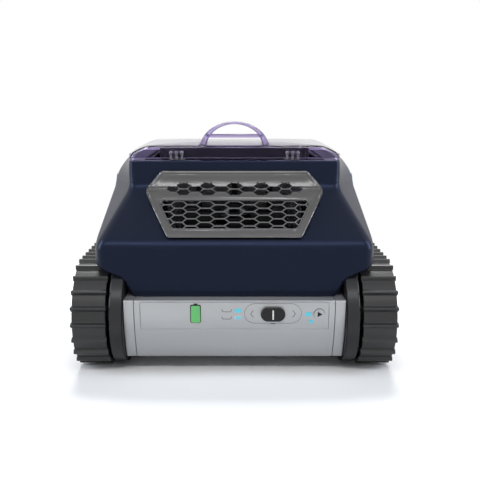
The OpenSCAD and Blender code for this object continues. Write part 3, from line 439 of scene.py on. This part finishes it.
bm = bmesh.new()
bm.from_mesh(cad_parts["outlet_bezel"].data)
bmesh.ops.remove_doubles(bm, verts=bm.verts, dist=2e-6)
for k in range(-40, 41):
    sliced(bm, (k * 0.003, 0, 0), (1, 0, 0))
for k in range(1, 28):
    sliced(bm, (0, 0, bezel_low.z + k * 0.003), (0, 0, 1))
for a, b in zip(bezel_edge, bezel_edge[1:] + bezel_edge[:1]):
    along = (Vector(b) - Vector(a)).normalized()
    for inset in (0.0006, 0.0014, 0.0026, 0.0038, 0.005):
        sliced(bm, (a[0] - along.y * inset, 0, a[1] + along.x * inset), (-along.y, 0, along.x))
bmesh.ops.remove_doubles(bm, verts=bm.verts, dist=4e-6)
for v in bm.verts:
    x, z = v.co.x, v.co.z
    outer = min(box_y - 1.4142 * 0.0043 - (brow_z - z), box_y - 0.0046 + (z - brow_z) * 0.13)
    inner = outer + (0.0057 if z < brow_z - 0.002 else 0.0042)
    share = max(0.0, min(1.0, (inner - v.co.y) / (inner - outer)))
    rim, pane = distance((x, z), bezel_edge), distance((x, z), grille_edge)
    if inside((x, z), grille_edge):
        pane = 0.0
    lift = 0.0
    if rim < 0.0026:
        lift -= 0.0026 * (1 - sqrt(max(0.0, 1 - (1 - rim / 0.0026) ** 2)))
    lift -= 0.0006 * exp(-((rim - 0.0044) / 0.0011) ** 2)
    if z < brow_z - 0.004:
        roll = min(1.0, pane / 0.0135)
        lift += 0.0022 * roll * roll * (3 - 2 * roll) - 0.0012
        lift += 0.0012 * exp(-((z - grille_high.z - 0.0042) / 0.0024) ** 2) * (abs(x) < 0.104)
    lift += outer - rolled_y(z, 0.0043)
    v.co.y -= share * lift
outward(bm, (0, 0, 0.19))
bezel_metal = finish("bezel_metal", (0.11, 0.11, 0.112), 0.3, metal=1.0, vary=0.05, depth=0.00001)
bmesh.ops.dissolve_degenerate(bm, dist=0.00004, edges=bm.edges)
piece_from(bm, "bezel", bezel_metal, node="outlet_bezel", angle=60)

# Grille: a thin plate of hexagon cells, with its bars rounded, moulded in one with
# nothing else and held behind the bezel.
grille_metal = finish("grille_metal", (0.14, 0.14, 0.143), 0.3, metal=1.0, vary=0.05)
broken_edges("outlet_grille", "grille", grille_metal, offset=0.0002)

# Louvres: five dark slats and two posts behind the grille that hide the pump. They
# are moulded in black and rest on the mouth of the outlet duct.
louvre_black = finish("louvre_black", (0.006, 0.006, 0.007), 0.6, gloss=0.15)


def slab(bm, low, high, bevel=0.0004):
    """Block with rounded edges between two corners, added to a bmesh."""
    made = bmesh.ops.create_cube(bm, size=1.0)["verts"]
    size = Vector(high) - Vector(low)
    bmesh.ops.scale(bm, vec=size, verts=made)
    bmesh.ops.translate(bm, vec=(Vector(low) + Vector(high)) / 2, verts=made)
    edges = list({e for v in made for e in v.link_edges})
    bmesh.ops.bevel(bm, geom=edges, offset=bevel, offset_type="OFFSET", segments=2,
                    profile=0.5, affect="EDGES", material=-1, clamp_overlap=False)


bm = bmesh.new()
for k in range(5):
    z = grille_low.z + 0.003 + k * 0.0068
    y = box_y - (brow_z - z) + 0.006
    slab(bm, (-0.079 - k * 0.003, y, z - 0.0006), (0.079 + k * 0.003, y + 0.007, z + 0.0006))
for x in (-0.072, 0.072):
    low_z, high_z = grille_low.z + 0.001, grille_high.z
    for k in range(6):
        z = low_z + (high_z - low_z) * k / 6
        slab(bm, (x - 0.0015, box_y - (brow_z - z) + 0.004, z),
             (x + 0.0015, box_y - (brow_z - z) + 0.013, z + 0.0052))
piece_from(bm, "louvres", louvre_black)

# Battery housing: a silver moulding with a curved front and two end caps, and a thin
# control panel let into it; the caps are screwed on from inside.
silver = finish("silver", (0.42, 0.43, 0.44), 0.36, metal=0.55, vary=0.04)
broken_edges("battery_housing", "housing", silver, offset=0.0008)
for side in SIDES:
    broken_edges("end_cap_" + side, "housing_end_" + side, silver, offset=0.001)
broken_edges("control_panel", "panel", silver, offset=0.0003)

# Side frames and chassis: black mouldings, with a wide round on the frames, bolted
# together round the gears.
frame_black = finish("frame_black", (0.012, 0.0125, 0.015), 0.34, gloss=0.35)
for side in SIDES:
    broken_edges("side_frame_" + side, "gear_case_" + side, frame_black, offset=0.003, segments=4)
broken_edges("lower_chassis", "chassis", frame_black, offset=0.0008)

# Tracks, wheels and brush: moulded rubber belts on black wheels with silver hub caps,
# and a blue rubber brush roller behind.
track_rubber = finish("track_rubber", (0.02, 0.02, 0.021), 0.36, depth=0.00006, gloss=0.4)
wheel_black = finish("wheel_black", (0.02, 0.021, 0.024), 0.4)
cap_silver = finish("cap_silver", (0.45, 0.46, 0.47), 0.3, metal=0.8)
brush_rubber = finish("brush_rubber", (0.03, 0.07, 0.16), 0.55)
for side in SIDES:
    broken_edges("track_" + side, "belt_" + side, track_rubber, offset=0.0006)
    broken_edges("drive_wheel_" + side, "rear_wheel_" + side, wheel_black, "drive_" + side)
    broken_edges("idler_wheel_" + side, "front_wheel_" + side, wheel_black, "idler_" + side)
    broken_edges("hub_cap_rear_" + side, "rear_hub_cap_" + side, cap_silver, "drive_" + side)
    broken_edges("hub_cap_front_" + side, "front_hub_cap_" + side, cap_silver, "idler_" + side)
broken_edges("brush_roller", "brush", brush_rubber, "brush", offset=0.0003)

# Lights and controls: lit windows glued into the panel, a black slider and a round
# start button, each pushed in from the front.
green_light = finish("green_light", (0.12, 0.5, 0.15), 0.3)
cyan_light = finish("cyan_light", (0.13, 0.62, 0.76), 0.3)
knob_black = finish("knob_black", (0.006, 0.006, 0.007), 0.25, gloss=0.3)
broken_edges("battery_indicator", "charge_window", green_light, offset=0.0003)
broken_edges("status_lights", "light_windows", cyan_light, offset=0.0002)
broken_edges("mode_slider", "slider_knob", knob_black, "mode_slider", offset=0.0012, segments=3)
broken_edges("start_button", "round_button", silver, "start_button", offset=0.0006)

# Printed marks: a battery outline, the oval round the slider with an arrow at each
# end, and plain marks on the slider and the button, in a raised film of ink.
housing_low, housing_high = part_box("battery_housing")
knob_low, knob_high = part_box("mode_slider")
button_low, button_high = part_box("start_button")
cell_low, cell_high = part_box("battery_indicator")
control_z = (knob_low.z + knob_high.z) / 2
knob_x = (knob_low.x + knob_high.x) / 2


def panel_y(z):
    reach = 0.1455
    return housing_low.y + reach - sqrt(reach ** 2 - (z - housing_high.z + 0.0076) ** 2)


def pill_loop(x, z, w, h, steps=14):
    points = []
    for s in (1, -1):
        for k in range(steps + 1):
            a = -pi / 2 + pi * k / steps
            points.append((x + s * ((w - h) / 2 + h / 2 * cos(a)), z + s * h / 2 * sin(a)))
    return points


def mark(bm, outer, inner=None, surface=panel_y, proud=0.00015):
    """Raised film inside one loop of (x, z), or between two loops."""
    def at(loop, out):
        return [Vector((x, surface(z) - out, z)) for x, z in loop]
    skins = [at(outer, -0.0003), at(outer, proud)]
    if inner:
        skins += [at(inner, proud), at(inner, -0.0003), at(outer, -0.0003)]
    film, last = drawn(skins)
    if inner:
        bmesh.ops.remove_doubles(film, verts=film.verts, dist=1e-7)
    else:
        bmesh.ops.holes_fill(film, edges=[e for e in film.edges if e.is_boundary], sides=0)
    bmesh.ops.recalc_face_normals(film, faces=film.faces)
    scrap = bpy.data.meshes.new("scrap")
    film.to_mesh(scrap)
    film.free()
    bm.from_mesh(scrap)
    bpy.data.meshes.remove(scrap)


def bar_loop(a, b, width):
    a, b = Vector(a), Vector(b)
    n = (b - a).normalized() * width / 2
    n = Vector((-n.y, n.x))
    return [tuple(p) for p in (a - n, b - n, b + n, a + n)]


def box_loop(low_x, low_z, high_x, high_z, r):
    corners = [(low_x, low_z), (high_x, low_z), (high_x, high_z), (low_x, high_z)]
    return [tuple(p) for p in rounded(corners, r, 4, (0, 3, 0, 3))]


ink_grey = finish("ink_grey", (0.10, 0.10, 0.105), 0.5, gloss=0.3)
ink_black = finish("ink_black", (0.01, 0.01, 0.01), 0.5, gloss=0.3)
ink_white = finish("ink_white", (0.8, 0.8, 0.8), 0.5, gloss=0.3)
bm = bmesh.new()
mark(bm, pill_loop(knob_x, control_z + 0.0004, 0.0737, 0.0273),
     pill_loop(knob_x, control_z + 0.0004, 0.0727, 0.0263))
for s in (-1, 1):
    tip = (knob_x + s * 0.0287, control_z)
    for up in (-1, 1):
        mark(bm, bar_loop((knob_x + s * 0.0252, control_z + up * 0.005), tip, 0.0008))
mark(bm, box_loop(knob_x - 0.003, control_z - 0.0142, knob_x + 0.003, control_z - 0.0134, 0.0002))
for z in (control_z + 0.0046, control_z - 0.0053):
    for a, b in (((-0.0165, 0.0018), (-0.015, -0.0018)), ((-0.015, -0.0018), (-0.005, -0.0018)),
                 ((-0.005, -0.0018), (-0.0035, 0.0018))):
        mark(bm, bar_loop((a[0], z + a[1]), (b[0], z + b[1]), 0.0007))
piece_from(bm, "panel_marks", ink_grey)
bm = bmesh.new()
mark(bm, box_loop(cell_low.x - 0.0009, cell_low.z - 0.0009, cell_high.x + 0.0009, cell_high.z + 0.0009, 0.0022),
     box_loop(cell_low.x + 0.0002, cell_low.z + 0.0002, cell_high.x - 0.0002, cell_high.z - 0.0002, 0.0018),
     proud=0.0009)
cell_x = (cell_low.x + cell_high.x) / 2
mark(bm, box_loop(cell_x - 0.0025, cell_high.z + 0.001, cell_x + 0.0025, cell_high.z + 0.0026, 0.0004))
piece_from(bm, "battery_outline", ink_black)
bm = bmesh.new()
mark(bm, box_loop(knob_x - 0.0009, control_z - 0.0062, knob_x + 0.0009, control_z + 0.0062, 0.0006),
     surface=lambda z: knob_low.y)
piece_from(bm, "slider_bar", ink_white, "mode_slider")
bm = bmesh.new()
for x, z, w, h in ((0.0044, 0.0046, 0.0092, 0.0054), (0.0947, -0.0005, 0.0088, 0.0054),
                   (0.0985, -0.0108, 0.0056, 0.0055)):
    mark(bm, pill_loop(x, control_z + z, w, h), proud=0.0006)
piece_from(bm, "cyan_lenses", cyan_light)
bm = bmesh.new()
mark(bm, pill_loop(0.0044, control_z - 0.0053, 0.0088, 0.0044), proud=0.0006)
piece_from(bm, "plain_lens", ink_white)
button_x = (button_low.x + button_high.x) / 2
bm = bmesh.new()
mark(bm, [(button_x - 0.0024, control_z - 0.0036), (button_x + 0.004, control_z),
          (button_x - 0.0024, control_z + 0.0036)], surface=lambda z: button_low.y)
piece_from(bm, "button_triangle", ink_black, "start_button")

# Clear lid: smoky violet plastic, 2.5 mm thick, slotted for its hinges and for the
# latch. The handle arch and its crossbar are moulded on.
clear_violet = finish("clear_violet", (0.52, 0.47, 0.64), 0.04, spread=0.01, vary=0.03, depth=0.000001)
lid_shader = clear_violet.node_tree.nodes["Principled BSDF"]
lid_shader.inputs["Transmission Weight"].default_value = 1.0
lid_shader.inputs["IOR"].default_value = 1.12
deep_violet = finish("deep_violet", (0.5, 0.42, 0.68), 0.06, spread=0.01, vary=0.03, depth=0.000001)
deep_shader = deep_violet.node_tree.nodes["Principled BSDF"]
deep_shader.inputs["Transmission Weight"].default_value = 0.9
deep_shader.inputs["IOR"].default_value = 1.3
lid_low, lid_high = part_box("lid")
latch_low, latch_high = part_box("lid_latch")
lid_z = lid_low.z
slots = sorted(s * 0.079 + k * 0.0075 + e for s in (-1, 1) for k in (-1, 0, 1) for e in (-0.002, 0.002))
front_stops = sorted(slots + [x * 0.01 for x in range(-6, 7)] + [-0.105, -0.098, 0.098, 0.105])
rear_stops = sorted([-0.0184, 0.0184] + [x * 0.012 for x in range(-8, 9) if abs(x) != 1.5], reverse=True)
LID_FILLS = (6, 14, 6, 0, 6, 14, 6, 0)


def lid_ring(a, f, s, b, rear, z, k=1.0, drop=False):
    corners = plan(a, box_y + f, s, -0.035, 0.070, b, rear)
    points = rounded(corners, 0.009, 6, LID_FILLS, {7: front_stops, 3: rear_stops})
    if k < 1:
        mid = (box_y + f + rear) / 2
        points = [Vector((p.x * k, mid + (p.y - mid) * k)) for p in points]
    fall = (lambda y: 0.004 * (y - box_y - f) / (rear - box_y - f)) if drop else None
    return raised(points, z, fall)


lid_keys = list(enumerate([
    lid_ring(0.143, 0.005, 0.152, 0.143, 0.123, lid_z),
    lid_ring(0.139, 0.0058, 0.143, 0.139, 0.121, lid_z + 0.008),
    lid_ring(0.129, 0.0068, 0.133, 0.129, 0.120, lid_z + 0.013),
    lid_ring(0.120, 0.0105, 0.120, 0.120, 0.119, lid_z + 0.017, 1.0, True),
    lid_ring(0.120, 0.0105, 0.120, 0.120, 0.119, lid_z + 0.0194, 0.62, True),
    lid_ring(0.120, 0.0105, 0.120, 0.120, 0.119, lid_z + 0.0203, 0.15, True),
    lid_ring(0.120, 0.0105, 0.120, 0.120, 0.119, lid_z + 0.0203, 0.02, True)]))
steps = (0, 0.1, 0.26, 0.6, 0.85, 1.0, 1.18, 1.45, 1.72, 1.88, 2.0, 2.12, 2.3, 2.6, 2.85, 3.0, 3.15, 3.4,
         3.8, 4.2, 4.6, 5.0, 5.5, 6.0)
bm, end = drawn([blended(lid_keys, t, 0.22) for t in steps])
bmesh.ops.holes_fill(bm, edges=end, sides=0)
cut = []
for f in bm.faces:
    at = f.calc_center_median()
    in_slot = any(slots[i] < at.x < slots[i + 1] for i in range(0, len(slots), 2))
    if at.y < box_y + 0.02 and at.z < lid_z + 0.0116 and in_slot:
        cut.append(f)
    if at.y > 0.1 and abs(at.x) < 0.0184 and latch_low.z - 0.0006 < at.z < latch_high.z - 0.0012:
        cut.append(f)
bmesh.ops.delete(bm, geom=cut, context="FACES")
outward(bm, (0, 0, lid_z - 0.05))
piece_from(bm, "clear_lid", clear_violet, "lid", "lid", wall=0.0024, angle=40)

foot_z, top_z = lid_z + 0.0143, lid_high.z
arch_y0, arch_y1 = box_y + 0.0195, box_y + 0.0635
rings = []
for k in range(49):
    a = pi * k / 48
    rise = (top_z - foot_z) * sin(a)
    flare = 0.0045 * max(0.0, 1 - rise / 0.010) ** 2
    out = Vector((0.047 * cos(a) + (flare if cos(a) > 0 else -flare), foot_z + rise))
    into = Vector((0.0385 * cos(a), foot_z + (top_z - foot_z - 0.0032) * sin(a)))
    ring = []
    for u, v in ((0.0, 0.06), (0.0, 0.94), (0.12, 0.99), (0.3, 1.0), (0.7, 1.0), (0.88, 0.99),
                 (1.0, 0.94), (1.0, 0.06), (0.88, 0.01), (0.7, 0.0), (0.3, 0.0), (0.12, 0.01)):
        p = out.lerp(into, u)
        ring.append(Vector((p.x, arch_y0 + (arch_y1 - arch_y0) * v, p.y)))
    rings.append(ring)
bm, _ = drawn(rings)
bmesh.ops.holes_fill(bm, edges=[e for e in bm.edges if e.is_boundary], sides=0)
bmesh.ops.recalc_face_normals(bm, faces=bm.faces)
piece_from(bm, "handle_arch", deep_violet, "lid", angle=50)
bm = bmesh.new()
slab(bm, (-0.0395, arch_y1 - 0.012, lid_z + 0.0253), (0.0395, arch_y1 - 0.006, lid_z + 0.0303), 0.0015)
piece_from(bm, "crossbar", deep_violet, "lid")
for name, low, high in (("lid_sill", 0.0003, 0.0016),):
    rim = lid_ring(0.1432, 0.0048, 0.1522, 0.1432, 0.1232, 0.0)
    bm, _ = drawn([[Vector((p.x * k, p.y * k, lid_z + h)) for p in rim]
                   for k, h in ((1.0, low), (1.0, high), (0.992, high), (0.992, low), (1.0, low))])
    bmesh.ops.remove_doubles(bm, verts=bm.verts, dist=1e-7)
    cut = [f for f in bm.faces if any(slots[i] < f.calc_center_median().x < slots[i + 1]
                                      for i in range(0, len(slots), 2)) and f.calc_center_median().y < 0]
    bmesh.ops.delete(bm, geom=cut, context="FACES")
    bmesh.ops.holes_fill(bm, edges=[e for e in bm.edges if e.is_boundary], sides=0)
    bmesh.ops.recalc_face_normals(bm, faces=bm.faces)
    piece_from(bm, name, deep_violet, "lid")

# Filter top and latch: a grey slatted cover under the lid, and a black push button
# in the lid's rear edge.
cover = broken_edges("filter_top", "filter_cover", filter_grey, offset=0.0004)
cover_low, cover_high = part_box("filter_top")
for v in cover.data.vertices:
    if v.co.z > cover_high.z - 0.02:
        v.co.z += 0.0012
broken_edges("lid_latch", "latch_button", black_works, "lid_latch", offset=0.0006)
